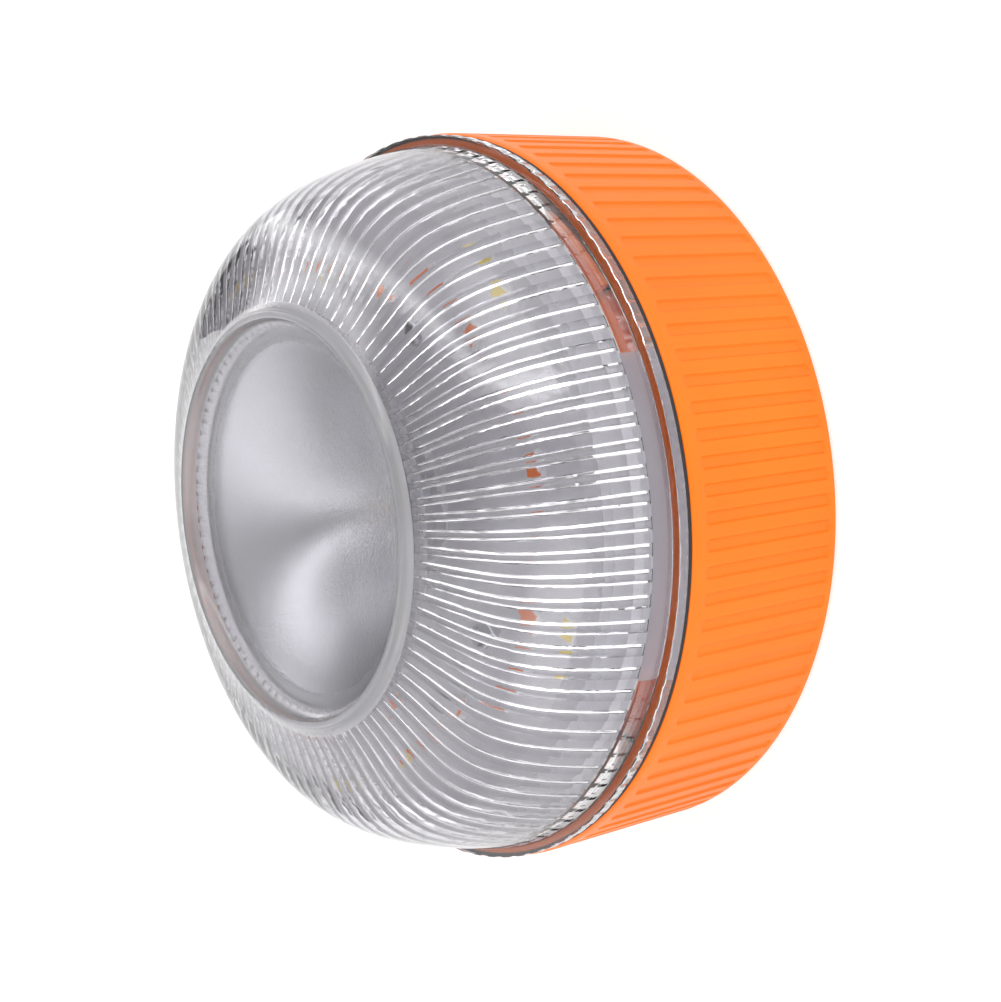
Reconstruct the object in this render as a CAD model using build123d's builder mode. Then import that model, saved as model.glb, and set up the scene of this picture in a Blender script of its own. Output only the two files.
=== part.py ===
from build123d import *
import math
import os

# Magnetic LED emergency beacon: a clear domed lens over an orange ribbed base.
# The lens unit (lens, LED board, 9 V battery) screws onto the base with three short thread lugs.
# Frame: +Z up along the beacon's axis, origin at the centre of the underside, millimetres.

# ---- Driving dimensions ----
BASE_TOP_RADIUS = 50.0  # over the base's ribs, just under the joint
BASE_FOOT_RADIUS = 49.15  # the base tapers slightly towards the underside
BASE_FOOT_Z = 0.4  # the foot pad stands this far below the base
JOINT_Z = 25.5  # top edge of the base's outer lip
RIB_COUNT = 92  # grip ribs round the base
FLANGE_RADIUS = 49.8  # the lens's outer flange
WALL_RADIUS = 48.36  # the lens's short upright wall, above the flange
LENS_WALL = 2.0
RIM_RADIUS = 26.66  # edge of the frosted dish
RIM_Z = 53.1  # top of the beacon
THREAD_RISE = 1.67  # millimetres of lift for each radian of twist
THREAD_SPAN = 45.0  # degrees covered by each thread lug
COLLAR_SPAN = 69.0  # degrees covered by each of the base's three collar arcs
COLLAR_ANGLES = (-37.5, 82.5, 202.5)  # middle of each collar arc

# ---- Levels that several pieces share ----
FLANGE_Z = 26.1  # underside of the lens flange
DECK_Z = 29.4  # underside of the light deck's plate
BOARD_Z = 31.0
BOARD_TOP = 32.6
COVER_TOP = 3.0
MAGNET_TOP = 8.6
PLATE_TOP = 9.6
BOX_FLOOR = 10.2  # open lower edge of the battery box
BOX_ROOF = 28.1
STEM_TOP = 12.9

os.makedirs("parts", exist_ok=True)


def save(piece, name):
    """Label a finished sub-part and write its STEP file."""
    piece.part.label = name
    export_step(piece.part, "parts/" + name + ".step")


def on_circle(radius, angle, height=0.0):
    """Point at a radius and an angle in degrees round the beacon's axis."""
    turn = math.radians(angle)
    return (radius * math.cos(turn), radius * math.sin(turn), height)


def ring_sector(inner, outer, span):
    """Flat sector of a ring, centred on the x axis."""
    with BuildSketch() as sector:
        with BuildLine():
            inside = CenterArc((0, 0), inner, -span / 2, span)
            outside = CenterArc((0, 0), outer, -span / 2, span)
            Line(inside @ 0, outside @ 0)
            Line(inside @ 1, outside @ 1)
        make_face()
    return sector.sketch


def thread_lug(inner, outer, height, thickness):
    """One short start of the closing thread, sloped up in the direction that opens the lens."""
    slope = math.atan(THREAD_RISE * 2 / (inner + outer))
    start = Plane(origin=(0, 0, height), x_dir=(1, 0, 0), z_dir=(0, -math.sin(slope), math.cos(slope)))
    with BuildPart() as lug:
        with BuildSketch(start):
            add(ring_sector(inner, outer, THREAD_SPAN))
        extrude(amount=thickness / 2, both=True)
    return lug.part


def screw(head_radius, head_height, shank_radius, length):
    """Pan-head screw with a cross recess; the head stands on z = 0 and the shank points down."""
    with BuildPart() as fastener:
        Cylinder(head_radius, head_height, align=(Align.CENTER, Align.CENTER, Align.MIN))
        fillet(fastener.edges().group_by(Axis.Z)[-1], head_height * 0.4)
        Cylinder(shank_radius, length, align=(Align.CENTER, Align.CENTER, Align.MAX))
        recess = head_radius * 1.1
        with BuildSketch(Plane.XY.offset(head_height)):
            Rectangle(recess, recess * 0.22)
            Rectangle(recess * 0.22, recess)
        extrude(amount=-head_height * 0.55, mode=Mode.SUBTRACT)
    return fastener.part


# ============ Base: the orange shell and what is fixed in it ============

BASE_WALL_INNER = 46.6
FLUTE_WIDTH = 1.75
FLUTE_DEPTH = 0.32
FLUTE_FOOT_GAP = 0.9  # smooth band below the flutes
FLUTE_TOP_GAP = 2.0  # smooth band between the flutes and the joint
COLLAR_INNER = 43.2
COLLAR_OUTER = 44.7
COLLAR_TOP = 28.6
TRENCH_Z = 24.5  # floor between the collar and the wall, where the lens's lugs turn
LEDGE_Z = 22.7
LAND_Z = 26.0  # the lens flange sits just above this land
LAND_RADIUS = 49.2
RIDGE_Z = 27.45
LUG_THICKNESS = 1.0
COVER_SCREW_RADIUS = 40.5
COVER_SCREW_ANGLES = (45.0, 135.0, 225.0, 315.0)
BOSS_RADIUS = 3.2
BOSS_WEB = (6.8, 2.4)  # length and thickness of the web that ties each boss to the wall
PILOT_RADIUS = 1.25
PILOT_DEPTH = 6.2

with BuildPart() as housing:
    with BuildSketch(Plane.XZ):
        with BuildLine():
            Polyline(
                (BASE_WALL_INNER, BASE_FOOT_Z),
                (BASE_FOOT_RADIUS - 0.4, BASE_FOOT_Z),
                (BASE_FOOT_RADIUS, BASE_FOOT_Z + 0.4),
                (BASE_TOP_RADIUS, JOINT_Z - 0.6),
                (BASE_TOP_RADIUS - 0.25, JOINT_Z),
                (LAND_RADIUS, JOINT_Z),
                (LAND_RADIUS, LAND_Z),
                (BASE_WALL_INNER, LAND_Z),
                (BASE_WALL_INNER, TRENCH_Z),
                (COLLAR_INNER, TRENCH_Z),
                (COLLAR_INNER, LEDGE_Z),
                (BASE_WALL_INNER, LEDGE_Z - 3.4),
                close=True,
            )
        make_face()
    revolve(axis=Axis.Z)
    # Grip ribs: what stands between shallow flutes cut into the tapered wall.
    flute_low = BASE_FOOT_Z + FLUTE_FOOT_GAP
    flute_high = JOINT_Z - FLUTE_TOP_GAP
    taper = (BASE_TOP_RADIUS - BASE_FOOT_RADIUS) / (JOINT_Z - BASE_FOOT_Z)
    flute_mid = (flute_low + flute_high) / 2
    surface_radius = BASE_FOOT_RADIUS + taper * (flute_mid - BASE_FOOT_Z - 0.4)
    with PolarLocations(surface_radius - FLUTE_DEPTH, RIB_COUNT):
        with Locations(Location((0, 0, flute_mid), (0, math.degrees(math.atan(taper)), 0))):
            Box(
                10 * FLUTE_DEPTH,
                FLUTE_WIDTH,
                flute_high - flute_low,
                align=(Align.MIN, Align.CENTER, Align.CENTER),
                mode=Mode.SUBTRACT,
            )
    # Three collar arcs carry the thread ridges that hold the lens down.
    for angle in COLLAR_ANGLES:
        with BuildSketch(Plane.XY.offset(TRENCH_Z).rotated((0, 0, angle))):
            add(ring_sector(COLLAR_INNER, COLLAR_OUTER, COLLAR_SPAN))
        extrude(amount=COLLAR_TOP - TRENCH_Z)
        add(thread_lug(COLLAR_OUTER - 0.3, 46.0, RIDGE_Z, LUG_THICKNESS).rotate(Axis.Z, angle))
    # Screw bosses for the bottom cover, joined to the wall.
    for angle in COVER_SCREW_ANGLES:
        with BuildSketch(Plane.XY.offset(COVER_TOP).rotated((0, 0, angle))):
            with Locations((COVER_SCREW_RADIUS, 0)):
                Circle(BOSS_RADIUS)
            with Locations((COVER_SCREW_RADIUS + BOSS_WEB[0] / 2, 0)):
                Rectangle(*BOSS_WEB)
        extrude(amount=PLATE_TOP - COVER_TOP)
        with Locations(Location(on_circle(COVER_SCREW_RADIUS, angle, COVER_TOP))):
            Cylinder(
                PILOT_RADIUS,
                PILOT_DEPTH,
                align=(Align.CENTER, Align.CENTER, Align.MIN),
                mode=Mode.SUBTRACT,
            )
save(housing, "housing")

BUTTON_RADIUS = 8.0
TUBE_INNER = 9.7
TUBE_OUTER = 11.2
TUBE_TOP = 7.0
PAD_INNER = 29.0
PAD_OUTER = 44.0
PAD_RECESS_Z = 1.2
MAGNET_FLOOR = 1.6
MAGNET_INNER = 14.0
MAGNET_OUTER = 26.0
MAGNET_RIM = 1.4  # wall of the rim that holds the magnet
MAGNET_RIM_HEIGHT = 4.0
BUTTON_SHELF_Z = 2.2  # the button's flange rests just above this shelf

with BuildPart() as bottom_cover:
    with BuildSketch(Plane.XY.offset(BASE_FOOT_Z)):
        Circle(BASE_WALL_INNER - 0.15)
    extrude(amount=COVER_TOP - BASE_FOOT_Z)
    with BuildSketch(Plane.XY.offset(COVER_TOP)):
        Circle(TUBE_OUTER)
    extrude(amount=TUBE_TOP - COVER_TOP)
    with BuildSketch(Plane.XY.offset(COVER_TOP)):
        Circle(MAGNET_OUTER + MAGNET_RIM)
        Circle(MAGNET_OUTER, mode=Mode.SUBTRACT)
    extrude(amount=MAGNET_RIM_HEIGHT)
    with BuildSketch(Plane.XY.offset(MAGNET_FLOOR)):
        Circle(MAGNET_OUTER + 0.1)
        Circle(MAGNET_INNER - 0.1, mode=Mode.SUBTRACT)
    extrude(amount=MAGNET_TOP, mode=Mode.SUBTRACT)
    with BuildSketch(Plane.XY.offset(BUTTON_SHELF_Z)):
        Circle(TUBE_INNER)
    extrude(amount=TUBE_TOP, mode=Mode.SUBTRACT)
    with BuildSketch(Plane.XY):
        Circle(BUTTON_RADIUS + 0.3)
    extrude(amount=COVER_TOP, mode=Mode.SUBTRACT)
    with BuildSketch(Plane.XY):
        Circle(PAD_OUTER)
        Circle(PAD_INNER, mode=Mode.SUBTRACT)
    extrude(amount=PAD_RECESS_Z, mode=Mode.SUBTRACT)
    for angle in COVER_SCREW_ANGLES:
        with Locations(Location(on_circle(COVER_SCREW_RADIUS, angle, PAD_RECESS_Z))):
            Cylinder(2.5, 1.0, align=(Align.CENTER, Align.CENTER, Align.MIN), mode=Mode.SUBTRACT)
            Cylinder(1.4, 4.0, align=(Align.CENTER, Align.CENTER, Align.MIN), mode=Mode.SUBTRACT)
save(bottom_cover, "bottom_cover")

with BuildPart() as foot_pad:
    with BuildSketch(Plane.XY):
        Circle(PAD_OUTER - 0.1)
        Circle(PAD_INNER + 0.1, mode=Mode.SUBTRACT)
    extrude(amount=PAD_RECESS_Z)
    chamfer(foot_pad.edges().group_by(Axis.Z)[0], 0.25)
save(foot_pad, "foot_pad")

with BuildPart() as cover_screws:
    for angle in COVER_SCREW_ANGLES:
        placed = Location(on_circle(COVER_SCREW_RADIUS, angle, PAD_RECESS_Z + 1.0), (180, 0, 0))
        add(screw(2.3, 0.95, 1.2, 6.6).moved(placed))
save(cover_screws, "cover_screws")

with BuildPart() as magnet_ring:
    with BuildSketch(Plane.XY.offset(MAGNET_FLOOR)):
        Circle(MAGNET_OUTER)
        Circle(MAGNET_INNER, mode=Mode.SUBTRACT)
    extrude(amount=MAGNET_TOP - MAGNET_FLOOR)
    chamfer(magnet_ring.edges().group_by(Axis.Z)[-1], 0.5)
save(magnet_ring, "magnet_ring")

with BuildPart() as magnet_plate:
    with BuildSketch(Plane.XY.offset(MAGNET_TOP)):
        Circle(MAGNET_OUTER + 1.0)
        Circle(BUTTON_RADIUS, mode=Mode.SUBTRACT)
    extrude(amount=PLATE_TOP - MAGNET_TOP)
save(magnet_plate, "magnet_plate")

BUTTON_FACE_Z = 0.9
BUTTON_FLANGE_Z = 2.3
BUTTON_FLANGE_TOP = 3.5
STEM_RADIUS = 2.2
TOUCH_RING = (4.2, 5.2)  # radii of the raised ring on the pressing face
TOUCH_RING_HEIGHT = 0.25

with BuildPart() as button_retainer:
    with BuildSketch(Plane.XY.offset(TUBE_TOP)):
        Circle(TUBE_OUTER)
        Circle(STEM_RADIUS + 0.4, mode=Mode.SUBTRACT)
    extrude(amount=MAGNET_TOP - TUBE_TOP)
save(button_retainer, "button_retainer")


COIL_RADIUS = 5.0
COIL_PITCH = 1.0
COIL_WIRE = 0.4
COIL_END_GAP = 0.45  # from each end face to the wire's centre

with BuildPart() as button_spring:
    coil_height = TUBE_TOP - BUTTON_FLANGE_TOP - 2 * COIL_END_GAP
    with BuildLine(Plane.XY.offset(BUTTON_FLANGE_TOP + COIL_END_GAP)):
        coil = Helix(pitch=COIL_PITCH, height=coil_height, radius=COIL_RADIUS)
    with BuildSketch(Plane(origin=coil @ 0, z_dir=coil % 0)):
        Circle(COIL_WIRE)
    sweep(path=coil, is_frenet=True)
save(button_spring, "button_spring")

# ============ Button: pressed from below, pushes the plunger above it ============

with BuildPart() as power_button:
    with BuildSketch(Plane.XY.offset(BUTTON_FACE_Z)):
        Circle(BUTTON_RADIUS)
    extrude(amount=BUTTON_FLANGE_Z - BUTTON_FACE_Z)
    chamfer(power_button.edges().group_by(Axis.Z)[0], 0.4)
    with BuildSketch(Plane.XY.offset(BUTTON_FLANGE_Z)):
        Circle(TUBE_INNER - 0.4)
    extrude(amount=BUTTON_FLANGE_TOP - BUTTON_FLANGE_Z)
    with BuildSketch(Plane.XY.offset(BUTTON_FLANGE_TOP)):
        Circle(STEM_RADIUS)
    extrude(amount=STEM_TOP - BUTTON_FLANGE_TOP)
    # A raised ring on the pressing face, felt with a fingertip.
    with BuildSketch(Plane.XY.offset(BUTTON_FACE_Z - TOUCH_RING_HEIGHT)):
        Circle(TOUCH_RING[1])
        Circle(TOUCH_RING[0], mode=Mode.SUBTRACT)
    extrude(amount=2 * TOUCH_RING_HEIGHT)
save(power_button, "power_button")

# ============ Gasket: sits in the base's outer rebate, lifts with the lens ============

with BuildPart() as gasket:
    with BuildSketch(Plane.XY.offset(JOINT_Z + 0.02)):
        Circle(FLANGE_RADIUS - 0.1)
        Circle(LAND_RADIUS + 0.1, mode=Mode.SUBTRACT)
    extrude(amount=FLANGE_Z - JOINT_Z - 0.04)
save(gasket, "gasket")

# ============ Lens unit ============

LENS_INNER = WALL_RADIUS - LENS_WALL - 0.06
RIB_CREST_RADIUS = 45.5  # the dome's inner side, over the crests of its fine upright ribs
FLANGE_TOP = 27.5
DOME_START = (WALL_RADIUS, 28.5)
DOME_LEAN = (43.93, 51.13)
DOME_CROWN = (39.66, 46.47)
DOME_END = (28.04, 52.45)
DISH_EDGE = (23.8, 50.9)
DISH_DEPTH_Z = 48.9

with BuildPart() as lens:
    with BuildSketch(Plane.XZ):
        with BuildLine():
            Polyline(
                (LENS_INNER, FLANGE_Z),
                (FLANGE_RADIUS, FLANGE_Z),
                (FLANGE_RADIUS, FLANGE_TOP - 0.3),
                (FLANGE_RADIUS - 0.3, FLANGE_TOP),
                (WALL_RADIUS, FLANGE_TOP),
                DOME_START,
            )
            Bezier(DOME_START, DOME_LEAN, DOME_CROWN, DOME_END)
            Polyline(DOME_END, (27.7, RIM_Z - 0.1), (27.5, RIM_Z), (RIM_RADIUS, RIM_Z))
            Bezier((RIM_RADIUS, RIM_Z), (26.2, 51.2), DISH_EDGE)
            Bezier(DISH_EDGE, (16.0, 50.2), (8.0, DISH_DEPTH_Z), (0, DISH_DEPTH_Z))
            Line((0, DISH_DEPTH_Z), (0, DISH_DEPTH_Z - LENS_WALL))
            Bezier(
                (0, DISH_DEPTH_Z - LENS_WALL),
                (8.0, DISH_DEPTH_Z - LENS_WALL),
                (16.0, 50.2 - LENS_WALL),
                (23.6, 48.9),
            )
            Line((23.6, 48.9), (26.2, 49.9))
            Bezier((26.2, 49.9), (36.9, 44.6), (41.1, 47.8), (RIB_CREST_RADIUS, DECK_Z))
            Polyline((RIB_CREST_RADIUS, DECK_Z), (LENS_INNER, DECK_Z), (LENS_INNER, FLANGE_Z))
        make_face()
    revolve(axis=Axis.Z)
    for angle in COLLAR_ANGLES:
        lug_z = RIDGE_Z - LUG_THICKNESS - 0.3
        add(thread_lug(45.0, LENS_INNER + 0.1, lug_z, LUG_THICKNESS).rotate(Axis.Z, angle))
save(lens, "lens")

DECK_RADIUS = 44.8
DECK_LIP_RADIUS = 46.1
SKIRT_OUTER = 42.9
SKIRT_INNER = 41.3
BOARD_SCREW_RADIUS = 24.0
BOARD_SCREW_ANGLES = (-20.0, 100.0, 220.0)
BOX_SCREW_X = 30.0
BOX_SCREW_Y = 14.0
LEAD_SPOTS = ((22.6, 10.0), (22.6, 25.6))  # where the two battery leads rise
SCREW_HOLE = 1.05
LEAD_HOLE = 1.0
SWITCH_OPENING = 7.0
DRIVER_OPENING = (21.0, 10.0)  # lets the driver parts on the board's underside through the deck
DRIVER_MIDDLE = (1.5, -16.8)

with BuildPart() as light_deck:
    with BuildSketch(Plane.XY.offset(DECK_Z)):
        Circle(DECK_RADIUS)
    extrude(amount=BOARD_Z - DECK_Z)
    with BuildSketch(Plane.XY.offset(COLLAR_TOP + 0.25)):
        Circle(DECK_LIP_RADIUS)
        Circle(SKIRT_INNER, mode=Mode.SUBTRACT)
    extrude(amount=DECK_Z - COLLAR_TOP - 0.25)
    with BuildSketch(Plane.XY.offset(LEDGE_Z + 0.6)):
        Circle(SKIRT_OUTER)
        Circle(SKIRT_INNER, mode=Mode.SUBTRACT)
    extrude(amount=DECK_Z - LEDGE_Z - 0.6)
    for angle in BOARD_SCREW_ANGLES:
        with Locations(Location(on_circle(BOARD_SCREW_RADIUS, angle, BOARD_Z))):
            Cylinder(SCREW_HOLE, 6.0, align=(Align.CENTER, Align.CENTER, Align.MAX), mode=Mode.SUBTRACT)
    for side in (-1, 1):
        with Locations(Location((side * BOX_SCREW_X, BOX_SCREW_Y, DECK_Z))):
            Cylinder(SCREW_HOLE, 1.3, align=(Align.CENTER, Align.CENTER, Align.MIN), mode=Mode.SUBTRACT)
    for spot in LEAD_SPOTS:
        with Locations(Location((*spot, DECK_Z))):
            Cylinder(LEAD_HOLE, 2.0, align=(Align.CENTER, Align.CENTER, Align.MIN), mode=Mode.SUBTRACT)
    with BuildSketch(Plane.XY.offset(DECK_Z)):
        Rectangle(SWITCH_OPENING, SWITCH_OPENING)
        with Locations(DRIVER_MIDDLE):
            Rectangle(*DRIVER_OPENING)
    extrude(amount=BOARD_Z - DECK_Z, mode=Mode.SUBTRACT)
save(light_deck, "light_deck")

BOARD_RADIUS = 41.0

with BuildPart() as led_board:
    with BuildSketch(Plane.XY.offset(BOARD_Z)):
        Circle(BOARD_RADIUS)
        for angle in BOARD_SCREW_ANGLES:
            with Locations(on_circle(BOARD_SCREW_RADIUS, angle)[:2]):
                Circle(1.1, mode=Mode.SUBTRACT)
        for spot in LEAD_SPOTS:
            with Locations(spot):
                Circle(0.75, mode=Mode.SUBTRACT)
        # A locating notch keys the board to the deck.
        with Locations((0, BOARD_RADIUS)):
            Circle(2.0, mode=Mode.SUBTRACT)
    extrude(amount=BOARD_TOP - BOARD_Z)
save(led_board, "led_board")

with BuildPart() as board_screws:
    for angle in BOARD_SCREW_ANGLES:
        placed = Location(on_circle(BOARD_SCREW_RADIUS, angle, BOARD_TOP))
        add(screw(1.9, 1.3, 1.0, 3.1).moved(placed))
save(board_screws, "board_screws")

CHIP_LENGTH = 3.5
CHIP_WIDTH = 2.8
CHIP_HEIGHT = 0.75
AMBER_RADIUS = 29.1
AMBER_COUNT = 9
AMBER_START = -5.0
WHITE_RADIUS = 36.3
WHITE_COUNT = 5
WHITE_START = -48.0


def led_ring(radius, count, start):
    """A ring of identical surface-mounted LED chips standing on the board."""
    with BuildPart() as ring:
        with BuildSketch(Plane.XY.offset(BOARD_TOP)):
            with PolarLocations(radius, count, start_angle=start):
                Rectangle(CHIP_WIDTH, CHIP_LENGTH)
        extrude(amount=CHIP_HEIGHT)
    return ring


save(led_ring(AMBER_RADIUS, AMBER_COUNT, AMBER_START), "amber_leds")
save(led_ring(WHITE_RADIUS, WHITE_COUNT, WHITE_START), "white_leds")

with BuildPart() as torch_led:
    with BuildSketch(Plane.XY.offset(BOARD_TOP)):
        Rectangle(CHIP_LENGTH, CHIP_LENGTH)
    extrude(amount=0.9)
save(torch_led, "torch_led")

CUP_MOUTH = (25.5, 48.8)  # radius and height of the reflector's inner edge
CUP_RIM_RADIUS = 26.3
CUP_FOOT_RADIUS = 8.4

with BuildPart() as torch_reflector:
    # Open cup from the torch LED up to the underside of the frosted dish.
    with BuildSketch(Plane.XZ):
        with BuildLine():
            Line((4.2, BOARD_TOP), (4.2, 34.0))
            Bezier((4.2, 34.0), (9.0, 40.5), (16.0, 45.4), CUP_MOUTH)
            Polyline(CUP_MOUTH, (CUP_RIM_RADIUS, 48.5), (CUP_RIM_RADIUS, 47.9))
            Bezier((CUP_RIM_RADIUS, 47.9), (18.0, 44.3), (10.8, 39.6), (6.0, 34.0))
            Polyline((6.0, 34.0), (CUP_FOOT_RADIUS, 33.8), (CUP_FOOT_RADIUS, BOARD_TOP), (4.2, BOARD_TOP))
        make_face()
    revolve(axis=Axis.Z)
save(torch_reflector, "torch_reflector")

# ---- Driver parts on the board's underside, where they throw no shadow under the lens ----

DRIVER_RADIUS = 17.5
CHIP_ANGLE = -105.0
COIL_ANGLE = -65.0
DRIVER_CHIP_SIZE = (5.0, 4.0, 1.5)
PIN_PITCH = 1.27
COIL_SIDE = 6.0
COIL_HEIGHT = 3.0

with BuildPart() as driver_chip:
    with BuildSketch(Plane.XY.offset(BOARD_Z - 0.1)):
        with Locations(on_circle(DRIVER_RADIUS, CHIP_ANGLE)[:2]):
            Rectangle(DRIVER_CHIP_SIZE[0], DRIVER_CHIP_SIZE[1])
    extrude(amount=-DRIVER_CHIP_SIZE[2])
    with BuildSketch(Plane.XY.offset(BOARD_Z)):
        with Locations(on_circle(DRIVER_RADIUS, CHIP_ANGLE)[:2]):
            with GridLocations(PIN_PITCH, DRIVER_CHIP_SIZE[1] + 1.2, 4, 2):
                Rectangle(0.42, 1.6)
    extrude(amount=-0.3)
save(driver_chip, "driver_chip")

with BuildPart() as driver_coil:
    with BuildSketch(Plane.XY.offset(BOARD_Z)):
        with Locations(on_circle(DRIVER_RADIUS, COIL_ANGLE)[:2]):
            RectangleRounded(COIL_SIDE, COIL_SIDE, 1.2)
    extrude(amount=-COIL_HEIGHT)
save(driver_coil, "driver_coil")

# ---- Battery box under the deck, open downwards ----

BOX_WALL = 1.0
BATTERY_Y = (4.8, 30.8)
BATTERY_X = (-24.6, 21.0)
BATTERY_Z = (10.9, 27.9)
BOX_X = 24.9
BOX_Y = (4.6, 31.0)
BOX_MID_Y = (BOX_Y[0] + BOX_Y[1]) / 2
BOX_DEPTH = BOX_Y[1] - BOX_Y[0]
EAR_RADIUS = 3.0
EAR_THICKNESS = 2.0
GUIDE_LOW = 14.5
GUIDE_TOP = 24.0
GUIDE_RADIUS = 3.4
PLUNGER_RADIUS = 1.8

with BuildPart() as battery_box:
    with BuildSketch(Plane.XY.offset(BOX_FLOOR)):
        with Locations((0, BOX_MID_Y)):
            RectangleRounded(2 * (BOX_X + BOX_WALL), BOX_DEPTH + 2 * BOX_WALL, 2.0)
    extrude(amount=DECK_Z - BOX_FLOOR)
    with BuildSketch(Plane.XY.offset(BOX_FLOOR)):
        with Locations((0, BOX_MID_Y)):
            Rectangle(2 * BOX_X, BOX_DEPTH)
    extrude(amount=BOX_ROOF - BOX_FLOOR, mode=Mode.SUBTRACT)
    # Ears for the two screws that hold the box under the deck.
    with BuildSketch(Plane.XY.offset(DECK_Z - EAR_THICKNESS)):
        for side in (-1, 1):
            with Locations((side * BOX_SCREW_X, BOX_SCREW_Y)):
                Circle(EAR_RADIUS)
            with Locations((side * (BOX_SCREW_X - 2.5), BOX_SCREW_Y)):
                Rectangle(5.0, 2 * EAR_RADIUS)
        for side in (-1, 1):
            with Locations((side * BOX_SCREW_X, BOX_SCREW_Y)):
                Circle(1.1, mode=Mode.SUBTRACT)
    extrude(amount=EAR_THICKNESS)
    for spot in LEAD_SPOTS:
        with Locations(Location((*spot, BOX_ROOF))):
            Cylinder(LEAD_HOLE, 2.0, align=(Align.CENTER, Align.CENTER, Align.MIN), mode=Mode.SUBTRACT)
    # Tube that guides the switch plunger on the beacon's axis.
    with BuildSketch(Plane.XY.offset(GUIDE_LOW)):
        Circle(GUIDE_RADIUS)
        with Locations((0, 3.2)):
            Rectangle(2.4, 2.8)
        Circle(PLUNGER_RADIUS + 0.3, mode=Mode.SUBTRACT)
    extrude(amount=GUIDE_TOP - GUIDE_LOW)
save(battery_box, "battery_box")

with BuildPart() as box_screws:
    for side in (-1, 1):
        placed = Location((side * BOX_SCREW_X, BOX_SCREW_Y, DECK_Z - EAR_THICKNESS), (180, 0, 0))
        add(screw(1.9, 1.3, 1.0, 3.2).moved(placed))
save(box_screws, "box_screws")

TERMINAL_Y = (11.5, 24.1)
TERMINAL_Z = 19.4
TERMINAL_RADIUS = 2.8
TERMINAL_HEIGHT = 1.2
SNAP_WIDTH = 24.0
SNAP_HEIGHT = 11.0
LEAD_RADIUS = 0.65

with BuildPart() as battery:
    with BuildSketch(Plane.XY.offset(BATTERY_Z[0])):
        with Locations(((BATTERY_X[0] + BATTERY_X[1]) / 2, (BATTERY_Y[0] + BATTERY_Y[1]) / 2)):
            Rectangle(BATTERY_X[1] - BATTERY_X[0], BATTERY_Y[1] - BATTERY_Y[0])
    extrude(amount=BATTERY_Z[1] - BATTERY_Z[0])
    fillet(battery.edges().filter_by(Axis.X), 2.0)
save(battery, "battery")

with BuildPart() as battery_terminals:
    with BuildSketch(Plane.YZ.offset(BATTERY_X[1])):
        with Locations(*[(spot, TERMINAL_Z) for spot in TERMINAL_Y]):
            Circle(TERMINAL_RADIUS)
    extrude(amount=TERMINAL_HEIGHT)
save(battery_terminals, "battery_terminals")

with BuildPart() as snap_connector:
    with BuildSketch(Plane.YZ.offset(BATTERY_X[1] + TERMINAL_HEIGHT)):
        with Locations(((TERMINAL_Y[0] + TERMINAL_Y[1]) / 2, TERMINAL_Z)):
            RectangleRounded(SNAP_WIDTH, SNAP_HEIGHT, 1.5)
    extrude(amount=0.8)
save(snap_connector, "snap_connector")

with BuildPart() as battery_leads:
    with BuildSketch(Plane.XY.offset(TERMINAL_Z + SNAP_HEIGHT / 2)):
        for spot in LEAD_SPOTS:
            with Locations(spot):
                Circle(LEAD_RADIUS)
    extrude(amount=BOARD_TOP - TERMINAL_Z - SNAP_HEIGHT / 2)
save(battery_leads, "battery_leads")

# ---- Switch on the board's underside and the plunger that works it ----

SWITCH_Z = 27.6
SWITCH_SIDE = 6.0
WELL_RADIUS = 1.8  # the plunger's tip enters this well in the switch
WELL_DEPTH = 2.4
TIP_RADIUS = 1.45
TIP_LENGTH = 2.0
PLUNGER_COLLAR = 2.8  # the collar that keeps the plunger in its guide

with BuildPart() as tact_switch:
    with BuildSketch(Plane.XY.offset(SWITCH_Z)):
        RectangleRounded(SWITCH_SIDE, SWITCH_SIDE, 0.6)
        Circle(WELL_RADIUS, mode=Mode.SUBTRACT)
    extrude(amount=BOARD_Z - SWITCH_Z)
    with BuildSketch(Plane.XY.offset(SWITCH_Z + WELL_DEPTH)):
        Circle(WELL_RADIUS)
    extrude(amount=BOARD_Z - SWITCH_Z - WELL_DEPTH)
save(tact_switch, "tact_switch")

with BuildPart() as switch_plunger:
    with BuildSketch(Plane.XY.offset(STEM_TOP + 0.1)):
        Circle(PLUNGER_RADIUS)
    extrude(amount=SWITCH_Z - 1.0 - STEM_TOP - 0.1)
    with BuildSketch(Plane.XY.offset(GUIDE_TOP + 0.1)):
        Circle(PLUNGER_COLLAR)
    extrude(amount=1.0)
    with BuildSketch(Plane.XY.offset(SWITCH_Z - 1.0)):
        Circle(TIP_RADIUS)
    extrude(amount=TIP_LENGTH)
save(switch_plunger, "switch_plunger")
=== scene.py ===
import math

import bmesh
import bpy
from mathutils import Matrix, Vector


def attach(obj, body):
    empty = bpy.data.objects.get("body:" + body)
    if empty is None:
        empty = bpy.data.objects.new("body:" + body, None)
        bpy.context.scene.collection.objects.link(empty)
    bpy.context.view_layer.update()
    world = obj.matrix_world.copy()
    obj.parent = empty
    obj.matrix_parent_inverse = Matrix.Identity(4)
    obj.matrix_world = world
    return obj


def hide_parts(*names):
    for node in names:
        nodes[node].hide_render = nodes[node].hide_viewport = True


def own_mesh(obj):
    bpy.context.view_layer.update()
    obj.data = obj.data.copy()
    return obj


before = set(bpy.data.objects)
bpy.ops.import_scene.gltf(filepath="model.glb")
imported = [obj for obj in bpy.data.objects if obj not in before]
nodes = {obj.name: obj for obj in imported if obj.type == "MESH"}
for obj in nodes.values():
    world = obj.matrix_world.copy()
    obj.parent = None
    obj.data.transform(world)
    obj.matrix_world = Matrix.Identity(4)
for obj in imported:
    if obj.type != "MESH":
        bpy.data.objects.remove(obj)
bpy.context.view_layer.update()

# A magnetic LED emergency beacon. Profiles are written in millimetres and turned into metres here.
MM = 0.001
TURN = 2 * math.pi


# ---------------------------------------------------------------- shapes

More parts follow.
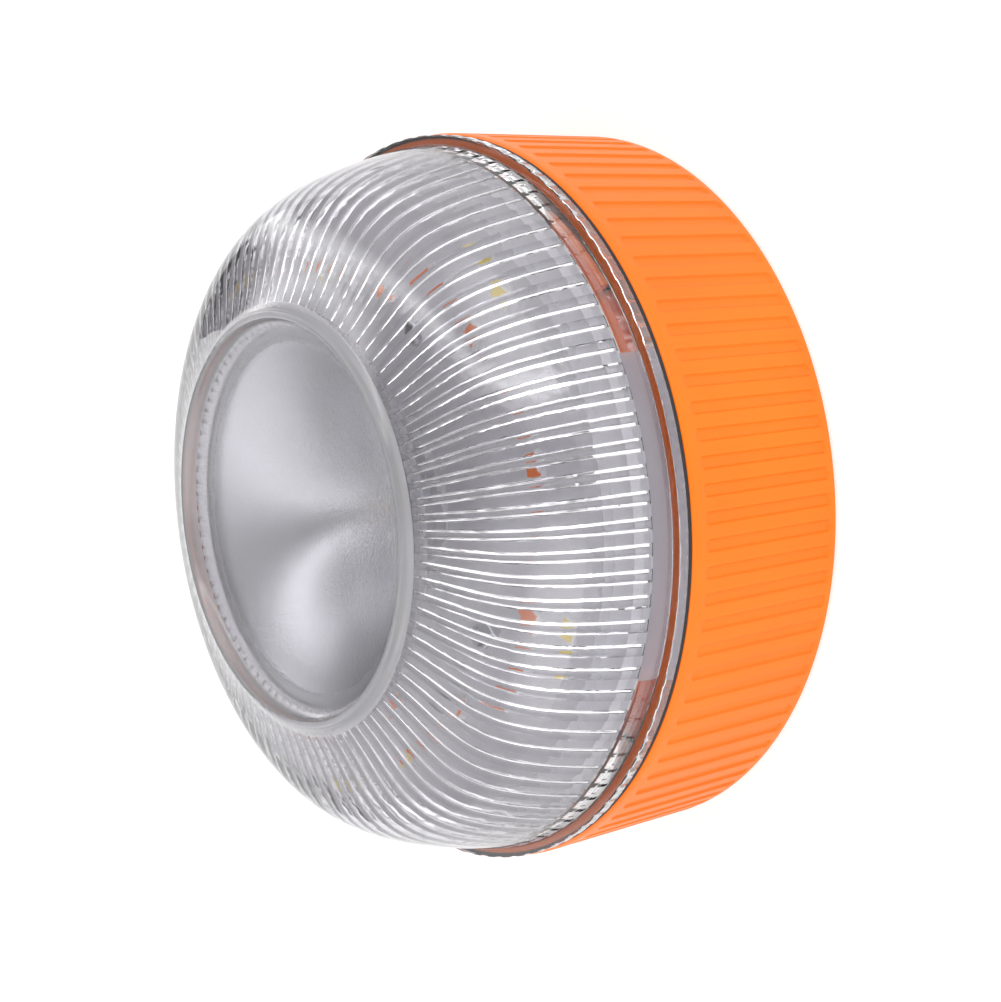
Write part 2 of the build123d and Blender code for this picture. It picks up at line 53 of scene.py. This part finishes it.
def bezier(points, count):
    """Points along a Bezier curve of any order, both ends included."""
    found = []
    for step in range(count):
        t = step / (count - 1)
        line = [Vector(p) for p in points]
        while len(line) > 1:
            line = [a.lerp(b, t) for a, b in zip(line, line[1:])]
        found.append(tuple(line[0]))
    return found


def between(low, high, count):
    """Evenly spaced numbers, both ends included."""
    return [low + (high - low) * i / (count - 1) for i in range(count)]


def mesh_object(name, verts, faces, body, replaced=(), slot=None):
    """A smooth-shaded mesh piece from millimetre points, riding on a CAD body."""
    mesh = bpy.data.meshes.new(name)
    mesh.from_pydata([(x * MM, y * MM, z * MM) for x, y, z in verts], [], faces)
    solid = bmesh.new()
    solid.from_mesh(mesh)
    bmesh.ops.recalc_face_normals(solid, faces=solid.faces)
    solid.to_mesh(mesh)
    solid.free()
    mesh.polygons.foreach_set("use_smooth", [True] * len(mesh.polygons))
    mesh.set_sharp_from_angle(angle=math.radians(32))
    piece = bpy.data.objects.new(name, mesh)
    bpy.context.scene.collection.objects.link(piece)
    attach(piece, body)
    if replaced:
        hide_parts(*replaced)
    return piece


def spun(profile, angles):
    """Vertices and faces of a closed section turned about Z.

    profile is the number of section points and a function at(i, angle) that gives a point's radius and
    height. A point on the axis is one vertex.
    """
    count, at = profile
    rings = []
    verts = []
    for i in range(count):
        if at(i, 0.0)[0] < 1e-6:
            rings.append([len(verts)] * len(angles))
            verts.append((0.0, 0.0, at(i, 0.0)[1]))
            continue
        ring = []
        for angle in angles:
            radius, height = at(i, angle)
            ring.append(len(verts))
            verts.append((radius * math.cos(angle), radius * math.sin(angle), height))
        rings.append(ring)
    faces = []
    steps = len(angles)
    for i in range(count):
        here, there = rings[i], rings[(i + 1) % count]
        for j in range(steps):
            k = (j + 1) % steps
            corners = [here[j], here[k], there[k], there[j]]
            kept = [v for n, v in enumerate(corners) if v not in corners[:n]]
            if len(kept) > 2:
                faces.append(kept)
    return verts, faces


def even_angles(steps):
    """Evenly spaced angles round a full turn."""
    return [TURN * j / steps for j in range(steps)]


def turned(name, section, body, replaced, slot, steps):
    """A plain ring or disc: a closed section of (radius, height) points turned about Z."""
    verts, faces = spun((len(section), lambda i, angle: section[i]), even_angles(steps))
    return mesh_object(name, verts, faces, body, replaced, slot)


def rounded(section, size, steps=4):
    """The same closed section with every corner rounded by about size."""
    done = []
    for i, corner in enumerate(section):
        here = Vector(corner)
        before = Vector(section[i - 1])
        after = Vector(section[(i + 1) % len(section)])
        cut_in = min(size, (before - here).length * 0.4)
        cut_out = min(size, (after - here).length * 0.4)
        start = here + (before - here).normalized() * cut_in
        end = here + (after - here).normalized() * cut_out
        done += bezier([start, here, end], steps)
    return done


def joined(name, parts, body, replaced=(), slot=None):
    """One piece from several lists of vertices and faces."""
    verts, faces = [], []
    for more_verts, more_faces in parts:
        base = len(verts)
        verts += more_verts
        faces += [[base + v for v in face] for face in more_faces]
    return mesh_object(name, verts, faces, body, replaced, slot)


# ---------------------------------------------------------------- materials

def material(name):
    """A new node material, its tree and its Principled shader."""
    made = bpy.data.materials.new(name)
    made.use_nodes = True
    tree = made.node_tree
    shader = tree.nodes["Principled BSDF"]
    return made, tree, shader


def set_values(node, **values):
    """Sets sockets by name, with _ for a space."""
    for key, value in values.items():
        node.inputs[key.replace("_", " ")].default_value = value


def noise(tree, scale, detail=3.0):
    """Noise in object coordinates."""
    coords = tree.nodes.new("ShaderNodeTexCoord")
    texture = tree.nodes.new("ShaderNodeTexNoise")
    set_values(texture, Scale=scale, Detail=detail)
    tree.links.new(coords.outputs["Object"], texture.inputs["Vector"])
    return texture.outputs["Fac"]


def ramp(tree, factor, stops):
    """Colour ramp with (position, colour) stops."""
    node = tree.nodes.new("ShaderNodeValToRGB")
    while len(node.color_ramp.elements) < len(stops):
        node.color_ramp.elements.new(0.5)
    for element, (position, color) in zip(node.color_ramp.elements, stops):
        element.position = position
        element.color = (*color, 1.0)
    tree.links.new(factor, node.inputs["Fac"])
    return node.outputs["Color"]


def greys(*stops):
    """Grey ramp stops from (position, level) pairs."""
    return [(position, (level, level, level)) for position, level in stops]


def between_values(tree, factor, low, high):
    """Maps 0..1 onto low..high."""
    node = tree.nodes.new("ShaderNodeMapRange")
    set_values(node, To_Min=low, To_Max=high)
    tree.links.new(factor, node.inputs["Value"])
    return node.outputs["Result"]


def bump(tree, shader, height, strength, distance):
    """Surface relief from a height value."""
    node = tree.nodes.new("ShaderNodeBump")
    set_values(node, Strength=strength, Distance=distance)
    tree.links.new(height, node.inputs["Height"])
    tree.links.new(node.outputs["Normal"], shader.inputs["Normal"])


def plastic(name, dark, light, roughness, grain_scale, grain=0.1, metallic=0.0, specular=0.5):
    """Moulded plastic, rubber or metal: a slight colour drift, uneven gloss and a fine surface grain."""
    made, tree, shader = material(name)
    drift = noise(tree, 60.0)
    tree.links.new(ramp(tree, drift, [(0.3, dark), (0.7, light)]), shader.inputs["Base Color"])
    gloss = between_values(tree, noise(tree, 240.0), roughness * 0.85, roughness * 1.15)
    tree.links.new(gloss, shader.inputs["Roughness"])
    bump(tree, shader, noise(tree, grain_scale, 4.0), grain, 0.0001)
    shader.inputs["Metallic"].default_value = metallic
    shader.inputs["Specular IOR Level"].default_value = specular
    return made


def clear_plastic(name, roughness_low, roughness_high, tint, edge_tint, grain=None, clarity=1.0):
    """Clear or frosted polycarbonate. Its tint turns to edge_tint where the wall is seen at a slant.

    grain is the surface's relief: noise scale, strength and depth. clarity is the transmitted share.
    """
    made, tree, shader = material(name)
    set_values(shader, Transmission_Weight=clarity, IOR=1.585)
    slant = tree.nodes.new("ShaderNodeLayerWeight")
    set_values(slant, Blend=0.5)
    face_on = ramp(tree, noise(tree, 90.0), [(0.3, tint), (0.7, [v * 1.03 for v in tint])])
    mixed = tree.nodes.new("ShaderNodeMixRGB")
    tree.links.new(ramp(tree, slant.outputs["Facing"], SLANT_STOPS), mixed.inputs["Fac"])
    tree.links.new(face_on, mixed.inputs["Color1"])
    mixed.inputs["Color2"].default_value = (*edge_tint, 1.0)
    tree.links.new(mixed.outputs["Color"], shader.inputs["Base Color"])
    gloss = between_values(tree, noise(tree, 2500.0, 2.0), roughness_low, roughness_high)
    tree.links.new(gloss, shader.inputs["Roughness"])
    if grain:
        scale, strength, depth = grain
        bump(tree, shader, noise(tree, scale, 2.0), strength, depth)
    return made


SLANT_STOPS = greys((0.3, 0.0), (0.85, 1.0))
LENS_TINT = (0.90, 0.885, 0.92)
LENS_EDGE_TINT = (0.28, 0.265, 0.30)
RIPPLE = (260.0, 0.3, 0.0006)  # moulding waviness on the ribs
SANDED = (2500.0, 0.35, 0.0002)  # fine grain of the dish

ORANGE = plastic(
    "orange_shell", (0.93, 0.167, 0.002), (0.98, 0.186, 0.003), 0.42, 1800.0, 0.12, specular=0.3
)
CLEAR = clear_plastic("clear_lens", 0.015, 0.04, LENS_TINT, LENS_EDGE_TINT)
RIBBED = clear_plastic("clear_ribs", 0.015, 0.04, LENS_TINT, LENS_EDGE_TINT, RIPPLE)
WALL = clear_plastic("clear_wall", 0.015, 0.03, (0.95, 0.95, 0.95), (0.30, 0.28, 0.32))
FROSTED = clear_plastic("frosted_dish", 0.10, 0.15, (0.90, 0.90, 0.92), (0.82, 0.82, 0.84), SANDED)
EDGE = clear_plastic("frosted_edge", 0.14, 0.18, (0.68, 0.67, 0.70), (0.55, 0.54, 0.56), clarity=0.65)
# Rough, partly opaque pale lilac finish for the inner wall: painted light, standing in for the lit interior
# seen through the clear wall
PAINTED_LIGHT_BAND = clear_plastic("painted_light_band", 0.22, 0.28, (0.71, 0.70, 0.82), (0.66, 0.65, 0.76), clarity=0.45)
BLACK = plastic("black_plastic", (0.012, 0.012, 0.013), (0.022, 0.022, 0.023), 0.5, 1500.0, 0.25)
WHITE = plastic("white_plastic", (0.60, 0.60, 0.62), (0.66, 0.66, 0.68), 0.35, 900.0, 0.05)
DECK = plastic("deck_plastic", (0.84, 0.84, 0.86), (0.88, 0.88, 0.90), 0.35, 900.0, 0.05)
GREY = plastic("grey_plastic", (0.16, 0.16, 0.17), (0.20, 0.20, 0.21), 0.45, 1200.0, 0.15)
RUBBER = plastic("black_rubber", (0.010, 0.010, 0.010), (0.020, 0.020, 0.020), 0.7, 2200.0, 0.4)
STEEL = plastic("zinc_steel", (0.55, 0.56, 0.58), (0.66, 0.67, 0.69), 0.32, 1600.0, 0.1, metallic=1.0)
SATIN = plastic("metallised_cup", (0.71, 0.71, 0.73), (0.75, 0.75, 0.77), 0.30, 2000.0, 0.1, metallic=1.0)
FERRITE = plastic("ferrite", (0.035, 0.035, 0.038), (0.060, 0.060, 0.064), 0.6, 1200.0, 0.3)
CHIP = plastic("chip_epoxy", (0.012, 0.012, 0.013), (0.022, 0.022, 0.024), 0.4, 3000.0, 0.2)
BOARD = plastic("white_solder_mask", (0.64, 0.64, 0.66), (0.72, 0.72, 0.74), 0.3, 700.0, 0.05)
CHIP_BODY = plastic("led_body", (0.70, 0.70, 0.69), (0.78, 0.78, 0.77), 0.4, 2500.0, 0.05)
AMBER = plastic("amber_phosphor", (0.90, 0.16, 0.012), (0.98, 0.24, 0.02), 0.35, 4000.0, 0.1)
YELLOW = plastic("yellow_phosphor", (0.85, 0.62, 0.05), (0.93, 0.74, 0.09), 0.35, 4000.0, 0.1)
WIRE = plastic("red_insulation", (0.35, 0.010, 0.010), (0.42, 0.018, 0.016), 0.4, 1500.0, 0.05)
CAN = plastic("battery_can", (0.05, 0.055, 0.065), (0.075, 0.08, 0.09), 0.3, 900.0, 0.05, metallic=0.6)


def dress(piece, *materials):
    """Gives a piece or a CAD node its materials."""
    piece.data.materials.clear()
    for made in materials:
        piece.data.materials.append(made)


# ---------------------------------------------------------------- lens

RIBS = 92
FLANGE_Z = 26.1
FLANGE_RADIUS = 49.8
FLANGE_TOP = 27.5
WALL_RADIUS = 48.36
LENS_INNER = 46.3
RIB_END_Z = 29.4
RIB_HALF_WIDTH = 0.27  # of the pitch
RIB_TOP_SHARE = 0.3  # how far a rib stands out at the dish, of the CAD model's rib depth
RIB_FOOT_SHARE = 0.75  # the same at the rim
NOTCH_DEPTH = 0.13  # the flange's edge is fluted at the ribs' pitch
PITCH_ANGLE = TURN / RIBS
WALL_SECTIONS = 13  # flange and upright wall, counted from the flange underside
RIM_RADIUS = 26.66
RIM_Z = 53.1
COLLAR_ANGLES = (-37.5, 82.5, 202.5)  # middles of the three collar arcs, in degrees
COLLAR_SPAN = 69.0
THREAD_RISE = 1.67  # for each radian
THREAD_SPAN = 45.0
LUG_INNER = 45.0
LUG_LOW = 25.65
LUG_HEIGHT = 1.0


def rib_height(angle):
    """Shallow arched bead: 1 on a rib's crest, 0 in the flat window between two ribs."""
    across = (angle / TURN * RIBS) % 1.0
    off = min(across, 1.0 - across) / RIB_HALF_WIDTH
    return max(0.0, 1.0 - off * off)


def rib_angles():
    """Angles close together over each bead and far apart in the windows."""
    shares = between(-RIB_HALF_WIDTH, RIB_HALF_WIDTH, 9)
    shares += between(RIB_HALF_WIDTH, 1.0 - RIB_HALF_WIDTH, 5)[1:-1]
    return [TURN * (rib + share) / RIBS for rib in range(RIBS) for share in shares]


def faces_collar(angle):
    """True where a collar arc of the base stands behind the lens wall."""
    turned_back = [(math.degrees(angle) - middle + 180.0) % 360.0 - 180.0 for middle in COLLAR_ANGLES]
    return min(abs(off) for off in turned_back) < COLLAR_SPAN / 2


def lens_section():
    """The lens's closed section, as (valley point, crest point) pairs that differ only along the ribs.

    Also the places in it where the dish's upper face starts and ends.
    """
    outside = [(FLANGE_RADIUS - 0.1, FLANGE_Z), (FLANGE_RADIUS, FLANGE_Z + 0.1)]
    corner = [(FLANGE_RADIUS, FLANGE_TOP - 0.25), (FLANGE_RADIUS, FLANGE_TOP), (49.5, FLANGE_TOP)]
    outside += corner[:1] + bezier(corner, 5)[1:]
    outside += bezier([(WALL_RADIUS + 0.25, FLANGE_TOP), (WALL_RADIUS, FLANGE_TOP), (WALL_RADIUS, 27.75)], 5)
    outside += bezier([(WALL_RADIUS, 28.5), (43.93, 51.13), (39.66, 46.47), (28.04, 52.45)], 44)
    outside += bezier([(27.8, 52.75), (27.62, RIM_Z), (27.3, RIM_Z)], 4)
    outside += bezier([(27.0, RIM_Z), (RIM_RADIUS, RIM_Z), (RIM_RADIUS - 0.05, RIM_Z - 0.3)], 4)
    dish = bezier([(26.5, 52.4), (26.0, 51.3), (23.8, 50.9)], 8)
    dish += bezier([(23.8, 50.9), (16.0, 50.2), (8.0, 48.9), (0.0, 48.9)], 18)[1:]
    under = bezier([(0.0, 46.9), (8.0, 46.9), (16.0, 48.2), (23.6, 48.9)], 14)
    under += bezier([(23.6, 48.9), (24.8, 49.1), (26.2, 49.9)], 5)[1:]
    pairs = [(p, p) for p in outside + dish + under]
    deep = bezier([(26.2, 49.9), (36.9, 44.6), (41.1, 47.8), (45.5, RIB_END_Z)], 44)
    valley = bezier([(26.6, 50.7), (37.6, 45.9), (42.1, 48.9), (LENS_INNER, RIB_END_Z)], 44)
    share = between(RIB_TOP_SHARE, RIB_FOOT_SHARE, 44)
    crest = [tuple(Vector(v).lerp(Vector(d), s)) for v, d, s in zip(valley, deep, share)]
    pairs += list(zip(valley, crest))[1:]
    below = [(LENS_INNER, RIB_END_Z - 0.05), (LENS_INNER, FLANGE_Z + 0.1), (LENS_INNER + 0.1, FLANGE_Z)]
    pairs += [(p, p) for p in below]
    first_dish = len(outside)
    return pairs, first_dish, first_dish + len(dish)


def sector_block(inner, outer, middle, span, low, high, rise=0.0, steps=24):
    """A closed arc-shaped block. Its height climbs by rise millimetres for each radian along it."""
    half = math.radians(span) / 2
    centre = math.radians(middle)
    verts, faces = [], []
    for turn in between(-half, half, steps):
        c, s = math.cos(centre + turn), math.sin(centre + turn)
        lift = rise * turn
        for radius, height in ((inner, low), (outer, low), (outer, high), (inner, high)):
            verts.append((radius * c, radius * s, height + lift))
    for j in range(steps - 1):
        for i in range(4):
            k = (i + 1) % 4
            faces.append([4 * j + i, 4 * (j + 1) + i, 4 * (j + 1) + k, 4 * j + k])
    last = 4 * (steps - 1)
    faces.append([0, 1, 2, 3])
    faces.append([last + 3, last + 2, last + 1, last])
    return verts, faces


def make_lens():
    """The dome, with its finishes by section, and the three lugs of the closing thread."""
    pairs, dish_from, dish_to = lens_section()
    angles = rib_angles()

    def at(i, angle):
        valley, crest = pairs[i]
        if valley == crest:
            on_edge = FLANGE_Z < valley[1] < FLANGE_TOP and valley[0] > FLANGE_RADIUS - 0.15
            return valley[0] - on_edge * NOTCH_DEPTH * rib_height(angle + PITCH_ANGLE / 2), valley[1]
        share = rib_height(angle)
        return valley[0] + (crest[0] - valley[0]) * share, valley[1] + (crest[1] - valley[1]) * share

    verts, faces = spun((len(pairs), at), angles)
    lens = mesh_object("lens_dome", verts, faces, "lens_unit", ["lens"], "clear_lens")
    finishes = [CLEAR, FROSTED, EDGE, WALL, RIBBED, PAINTED_LIGHT_BAND]
    dress(lens, *finishes)
    under_rim = dish_to + 12
    ribs_from = dish_to + 18
    inner_wall = len(pairs) - 4
    zones = [
        (0, WALL), (WALL_SECTIONS, CLEAR), (dish_from - 10, EDGE), (dish_from + 3, FROSTED),
        (dish_to - 1, CLEAR), (under_rim, EDGE), (ribs_from, RIBBED), (inner_wall, WALL),
    ]
    for n, face in enumerate(lens.data.polygons):
        section, step = divmod(n, len(angles))
        finish = [made for start, made in zones if section >= start][-1]
        # Where no collar arc stands behind the wall, its inner face gets the pale band finish: painted light
        # in place of the lit interior seen through it
        if section == inner_wall and not faces_collar(angles[step]):
            finish = PAINTED_LIGHT_BAND
        face.material_index = finishes.index(finish)
    for n, angle in enumerate(COLLAR_ANGLES):
        span = (angle, THREAD_SPAN, LUG_LOW, LUG_LOW + LUG_HEIGHT, THREAD_RISE)
        block = sector_block(LUG_INNER, LENS_INNER - 0.02, *span)
        lug = mesh_object("lens_lug_%d" % n, *block, "lens_unit", slot="clear_lens")
        dress(lug, CLEAR)


# ---------------------------------------------------------------- base shell

BASE_TOP_RADIUS = 50.0
BASE_FOOT_RADIUS = 49.15
BASE_FOOT_Z = 0.4
JOINT_Z = 25.5
FLUTE_LOW = BASE_FOOT_Z + 0.9
FLUTE_HIGH = JOINT_Z - 2.0
FLUTE_DEPTH = 0.32
FLUTE_HALF_WIDTH = 0.26  # of the pitch
FLUTE_SIDE = 0.35  # share of the half width that slopes
FLUTE_END = 0.4  # length of the slope at each end
PITCH = TURN * BASE_TOP_RADIUS / RIBS
POINTS_PER_FLUTE = 16


def flute_depth(angle, height):
    """How far the grip pattern is sunk here: shallow flutes with rounded sides and half-round ends."""
    across = (angle / TURN * RIBS) % 1.0
    off = min(across, 1.0 - across) / FLUTE_HALF_WIDTH
    if off >= 1.0:
        return 0.0
    round_end = PITCH * FLUTE_HALF_WIDTH * (1.0 - math.sqrt(1.0 - off * off))
    to_end = min(height - FLUTE_LOW, FLUTE_HIGH - height) - round_end
    side = min(1.0, (1.0 - off) / FLUTE_SIDE)
    end = min(1.0, max(0.0, to_end / FLUTE_END))
    depth = min(side, end)
    return FLUTE_DEPTH * depth * depth * (3 - 2 * depth)


def make_housing():
    """The fluted shell and the three collar arcs with their thread ridges."""
    wall = [(46.6, 0.5), (46.7, BASE_FOOT_Z), (BASE_FOOT_RADIUS - 0.4, BASE_FOOT_Z)]
    wall += bezier([(BASE_FOOT_RADIUS - 0.4, BASE_FOOT_Z), (49.13, 0.42), (49.16, 0.85)], 5)[1:]
    heights = between(FLUTE_LOW - 0.05, FLUTE_LOW + 1.6, 9) + between(3.4, 20.6, 8)
    heights += between(FLUTE_HIGH - 1.6, FLUTE_HIGH + 0.05, 9)
    taper = (BASE_TOP_RADIUS - BASE_FOOT_RADIUS) / (JOINT_Z - 0.6 - BASE_FOOT_Z - 0.4)
    side = [(BASE_FOOT_RADIUS + taper * (h - BASE_FOOT_Z - 0.4), h) for h in heights]
    first, last = len(wall), len(wall) + len(side)
    top = bezier([(49.98, 24.5), (50.0, 24.95), (49.9, 25.15)], 4)
    top += bezier([(49.82, 25.35), (49.75, JOINT_Z), (49.6, JOINT_Z)], 4)
    top += [(49.25, JOINT_Z), (49.2, 25.55), (49.2, 25.95), (49.15, 26.0), (46.7, 26.0), (46.6, 25.9)]
    top += [(46.6, 24.55), (46.5, 24.5), (43.3, 24.5), (43.2, 24.4), (43.2, 22.7), (46.6, 19.3)]
    section = wall + side + top
    def at(i, angle):
        radius, height = section[i]
        if first <= i < last:
            return radius - flute_depth(angle, height), height
        return radius, height

    verts, faces = spun((len(section), at), even_angles(RIBS * POINTS_PER_FLUTE))
    shell = mesh_object("base_shell", verts, faces, "base", ["housing"], "orange_shell")
    dress(shell, ORANGE)
    for n, angle in enumerate(COLLAR_ANGLES):
        arc = sector_block(43.2, 44.7, angle, COLLAR_SPAN, 24.4, 28.6, steps=48)
        ridge = sector_block(44.6, 46.0, angle, THREAD_SPAN, 26.95, 27.95, THREAD_RISE)
        collar = joined("collar_arc_%d" % n, [arc, ridge], "base", slot="orange_shell")
        dress(collar, ORANGE)


# ---------------------------------------------------------------- parts seen through the lens

def make_gasket():
    """The black line in the joint."""
    section = rounded([(49.3, 25.52), (49.7, 25.52), (49.7, 26.08), (49.3, 26.08)], 0.1)
    dress(turned("joint_gasket", section, "seal", ["gasket"], "gasket_rubber", 368), RUBBER)


def make_reflector():
    """The metallised cup, satin on its inner face and white outside."""
    inside = bezier([(4.2, 34.0), (9.0, 40.5), (16.0, 45.4), (25.5, 48.8)], 28)
    lip = bezier([(25.5, 48.8), (26.3, 48.9), (26.3, 47.9)], 5)[1:]
    outside = bezier([(26.3, 47.9), (18.0, 44.3), (10.8, 39.6), (6.0, 34.0)], 28)[1:]
    section = [(4.2, 32.6)] + inside + lip + outside + [(8.2, 33.8), (8.4, 33.6), (8.4, 32.6)]
    steps = 256
    cup = turned("reflector_cup", section, "lens_unit", ["torch_reflector"], "metallised", steps)
    dress(cup, WHITE, SATIN)
    for face in cup.data.polygons[:len(inside) * steps]:
        face.material_index = 1


def block(x_half, y_half, low, high, soft=0.12):
    """A box with bevelled upright and top edges, as vertices and faces about the origin."""
    layers = [(0.0, low), (0.0, high - soft), (soft, high)]
    verts, faces = [], []
    for inset, height in layers:
        x, y = x_half - inset, y_half - inset
        for sx, sy in ((-1, -1), (1, -1), (1, 1), (-1, 1)):
            verts.append((sx * (x - soft), sy * y, height))
            verts.append((sx * x, sy * (y - soft), height))
    order = [0, 2, 3, 5, 4, 6, 7, 1]
    for layer in range(len(layers) - 1):
        for n in range(8):
            a, b = order[n], order[(n + 1) % 8]
            faces.append([8 * layer + a, 8 * layer + b, 8 * (layer + 1) + b, 8 * (layer + 1) + a])
    top = 8 * (len(layers) - 1)
    faces.append([top + n for n in order])
    faces.append([n for n in reversed(order)])
    return verts, faces


def placed(part, radius, angle):
    """A part's vertices moved out along x and turned about Z by an angle in degrees."""
    verts, faces = part
    turn = math.radians(angle)
    c, s = math.cos(turn), math.sin(turn)
    moved = [((x + radius) * c - y * s, (x + radius) * s + y * c, z) for x, y, z in verts]
    return moved, faces


def make_leds(name, node, slot, radius, count, start, glow):
    """LED chips: a pale body with a raised phosphor window."""
    spots = [start + 360.0 / count * n for n in range(count)]
    bodies = [placed(block(1.4, 1.75, 32.6, 33.3), radius, a) for a in spots]
    dress(joined(name, bodies, "lens_unit", [node], slot), CHIP_BODY)
    windows = [placed(block(1.08, 1.42, 33.2, 33.35, 0.05), radius, a) for a in spots]
    dress(joined(name + "_windows", windows, "lens_unit", slot=slot), glow)


# ---------------------------------------------------------------- underside

def make_underside():
    """The rubber ring that the beacon stands on."""
    pad = rounded([(29.1, 0.0), (43.9, 0.0), (43.9, 1.2), (29.1, 1.2)], 0.3)
    dress(turned("foot_ring", pad, "base", ["foot_pad"], "foot_rubber", 300), RUBBER)


def make_spring():
    """The coil spring between the button's flange and the retainer."""
    flange_top, retainer, press = 3.5, 7.0, 0.8
    coil, wire, clearance = 5.0, 0.4, 0.05
    turns, per_turn, around = 2.6, 36, 12
    end_gap = wire + clearance
    heights = between(flange_top + end_gap, retainer - end_gap, round(turns * per_turn) + 1)
    verts, faces = [], []
    for i, height in enumerate(heights):
        angle = TURN * i / per_turn
        for n in range(around):
            radius = coil + wire * math.cos(TURN * n / around)
            rise = wire * math.sin(TURN * n / around)
            verts.append((radius * math.cos(angle), radius * math.sin(angle), height + rise))
    for i in range(len(heights) - 1):
        for n in range(around):
            a, b = around * i + n, around * i + (n + 1) % around
            faces.append([a, b, b + around, a + around])
    faces.append(list(range(around)))
    faces.append(list(range(len(verts) - around, len(verts))))
    piece = mesh_object("coil_spring", verts, faces, "base", ["button_spring"], "spring_steel")
    dress(piece, STEEL)
    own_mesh(piece)


make_lens()
make_housing()
make_gasket()
make_reflector()
make_leds("amber_chips", "amber_leds", "amber_chip", 29.1, 9, -5.0, AMBER)
make_leds("white_chips", "white_leds", "white_chip", 36.3, 5, -48.0, YELLOW)
make_leds("torch_chip", "torch_led", "white_chip", 0.0, 1, 0.0, YELLOW)
make_underside()
make_spring()

NODE_MATERIALS = {
    "light_deck": DECK,
    "led_board": BOARD,
    "board_screws": STEEL,
    "driver_chip": CHIP,
    "driver_coil": FERRITE,
    "tact_switch": CHIP,
    "switch_plunger": GREY,
    "battery_box": GREY,
    "box_screws": STEEL,
    "battery": CAN,
    "battery_terminals": STEEL,
    "snap_connector": GREY,
    "battery_leads": WIRE,
    "bottom_cover": BLACK,
    "cover_screws": STEEL,
    "magnet_ring": FERRITE,
    "magnet_plate": STEEL,
    "button_retainer": BLACK,
    "power_button": RUBBER,
}
for node, made in NODE_MATERIALS.items():
    dress(nodes[node], made)


# ---------------------------------------------------------------- floor, light and camera

TENT_STRENGTH = 1.6
TENT_SIDES = greys(
    (0.0, 0.45), (0.2, 0.6), (0.38, 0.9), (0.50, 0.22), (0.70, 0.18), (0.75, 2.4), (0.80, 0.4), (1.0, 0.5)
)
TENT_HEIGHT = greys((0.1, 0.0), (0.9, 0.1))
TENT_LAMPS = [(-42.0, 8.0, 2.1), (-140.0, 8.0, 1.45)]  # azimuth, elevation and brightness
LAMP_EDGE = greys((0.80, 0.0), (0.96, 1.0))
FLOOR_REACH = 3.0
FLOOR_HEIGHT = -0.00005  # in metres, just clear of the foot pad's face


def make_floor():
    """A plain pale floor."""
    mesh = bpy.data.meshes.new("floor")
    ways = ((-1, -1), (1, -1), (1, 1), (-1, 1))
    corners = [(x * FLOOR_REACH, y * FLOOR_REACH, FLOOR_HEIGHT) for x, y in ways]
    mesh.from_pydata(corners, [], [(0, 1, 2, 3)])
    floor = bpy.data.objects.new("floor", mesh)
    bpy.context.scene.collection.objects.link(floor)
    made, tree, shader = material("pale_floor")
    mottle = ramp(tree, noise(tree, 3.0), greys((0.3, 0.49), (0.7, 0.51)))
    tree.links.new(mottle, shader.inputs["Base Color"])
    set_values(shader, Roughness=0.9, Emission_Strength=0.64, Emission_Color=(1, 1, 1, 1))
    floor.data.materials.append(made)


def with_lamp(tree, direction, light, azimuth, elevation, brightness):
    """Adds a round soft-edged patch of light to the tent."""
    turn, rise = math.radians(azimuth), math.radians(elevation)
    towards = tree.nodes.new("ShaderNodeVectorMath")
    towards.operation = "DOT_PRODUCT"
    towards.inputs[1].default_value = (
        math.cos(turn) * math.cos(rise), math.sin(turn) * math.cos(rise), math.sin(rise)
    )
    tree.links.new(direction, towards.inputs[0])
    patch = ramp(tree, towards.outputs["Value"], LAMP_EDGE)
    added = tree.nodes.new("ShaderNodeMixRGB")
    added.blend_type = "ADD"
    added.inputs["Fac"].default_value = brightness
    tree.links.new(light, added.inputs["Color1"])
    tree.links.new(patch, added.inputs["Color2"])
    return added.outputs["Color"]


def make_world():
    """A soft light tent: its brightness changes along X and a little with height, with two lamps in front."""
    world = bpy.data.worlds.new("studio")
    world.use_nodes = True
    tree = world.node_tree
    background = tree.nodes["Background"]
    coords = tree.nodes.new("ShaderNodeTexCoord")
    parts = tree.nodes.new("ShaderNodeSeparateXYZ")
    tree.links.new(coords.outputs["Generated"], parts.inputs["Vector"])
    sideways = tree.nodes.new("ShaderNodeMapRange")
    set_values(sideways, From_Min=-1.0, From_Max=1.0)
    tree.links.new(parts.outputs["X"], sideways.inputs["Value"])
    light = ramp(tree, sideways.outputs["Result"], TENT_SIDES)
    height = ramp(tree, parts.outputs["Z"], TENT_HEIGHT)
    both = tree.nodes.new("ShaderNodeMixRGB")
    both.blend_type = "ADD"
    both.inputs["Fac"].default_value = 1.0
    tree.links.new(light, both.inputs["Color1"])
    tree.links.new(height, both.inputs["Color2"])
    light = both.outputs["Color"]
    for azimuth, elevation, brightness in TENT_LAMPS:
        light = with_lamp(tree, coords.outputs["Generated"], light, azimuth, elevation, brightness)
    tree.links.new(light, background.inputs["Color"])
    background.inputs["Strength"].default_value = TENT_STRENGTH
    bpy.context.scene.world = world


def make_camera():
    """The camera, in front of the beacon and turned on its side."""
    lens_mm = 81.1
    pitch = 36.01  # degrees below the horizon
    roll = -97.82
    eye_point = (-0.00123, -0.25674, 0.20422)
    camera = bpy.data.cameras.new("camera")
    camera.lens = lens_mm
    camera.clip_start = 0.01
    eye = bpy.data.objects.new("camera", camera)
    bpy.context.scene.collection.objects.link(eye)
    eye.matrix_world = (
        Matrix.Translation(eye_point)
        @ Matrix.Rotation(math.radians(90.0 - pitch), 4, "X")
        @ Matrix.Rotation(math.radians(roll), 4, "Z")
    )
    bpy.context.scene.camera = eye


make_floor()
make_world()
make_camera()
bpy.context.scene.view_settings.view_transform = "Standard"
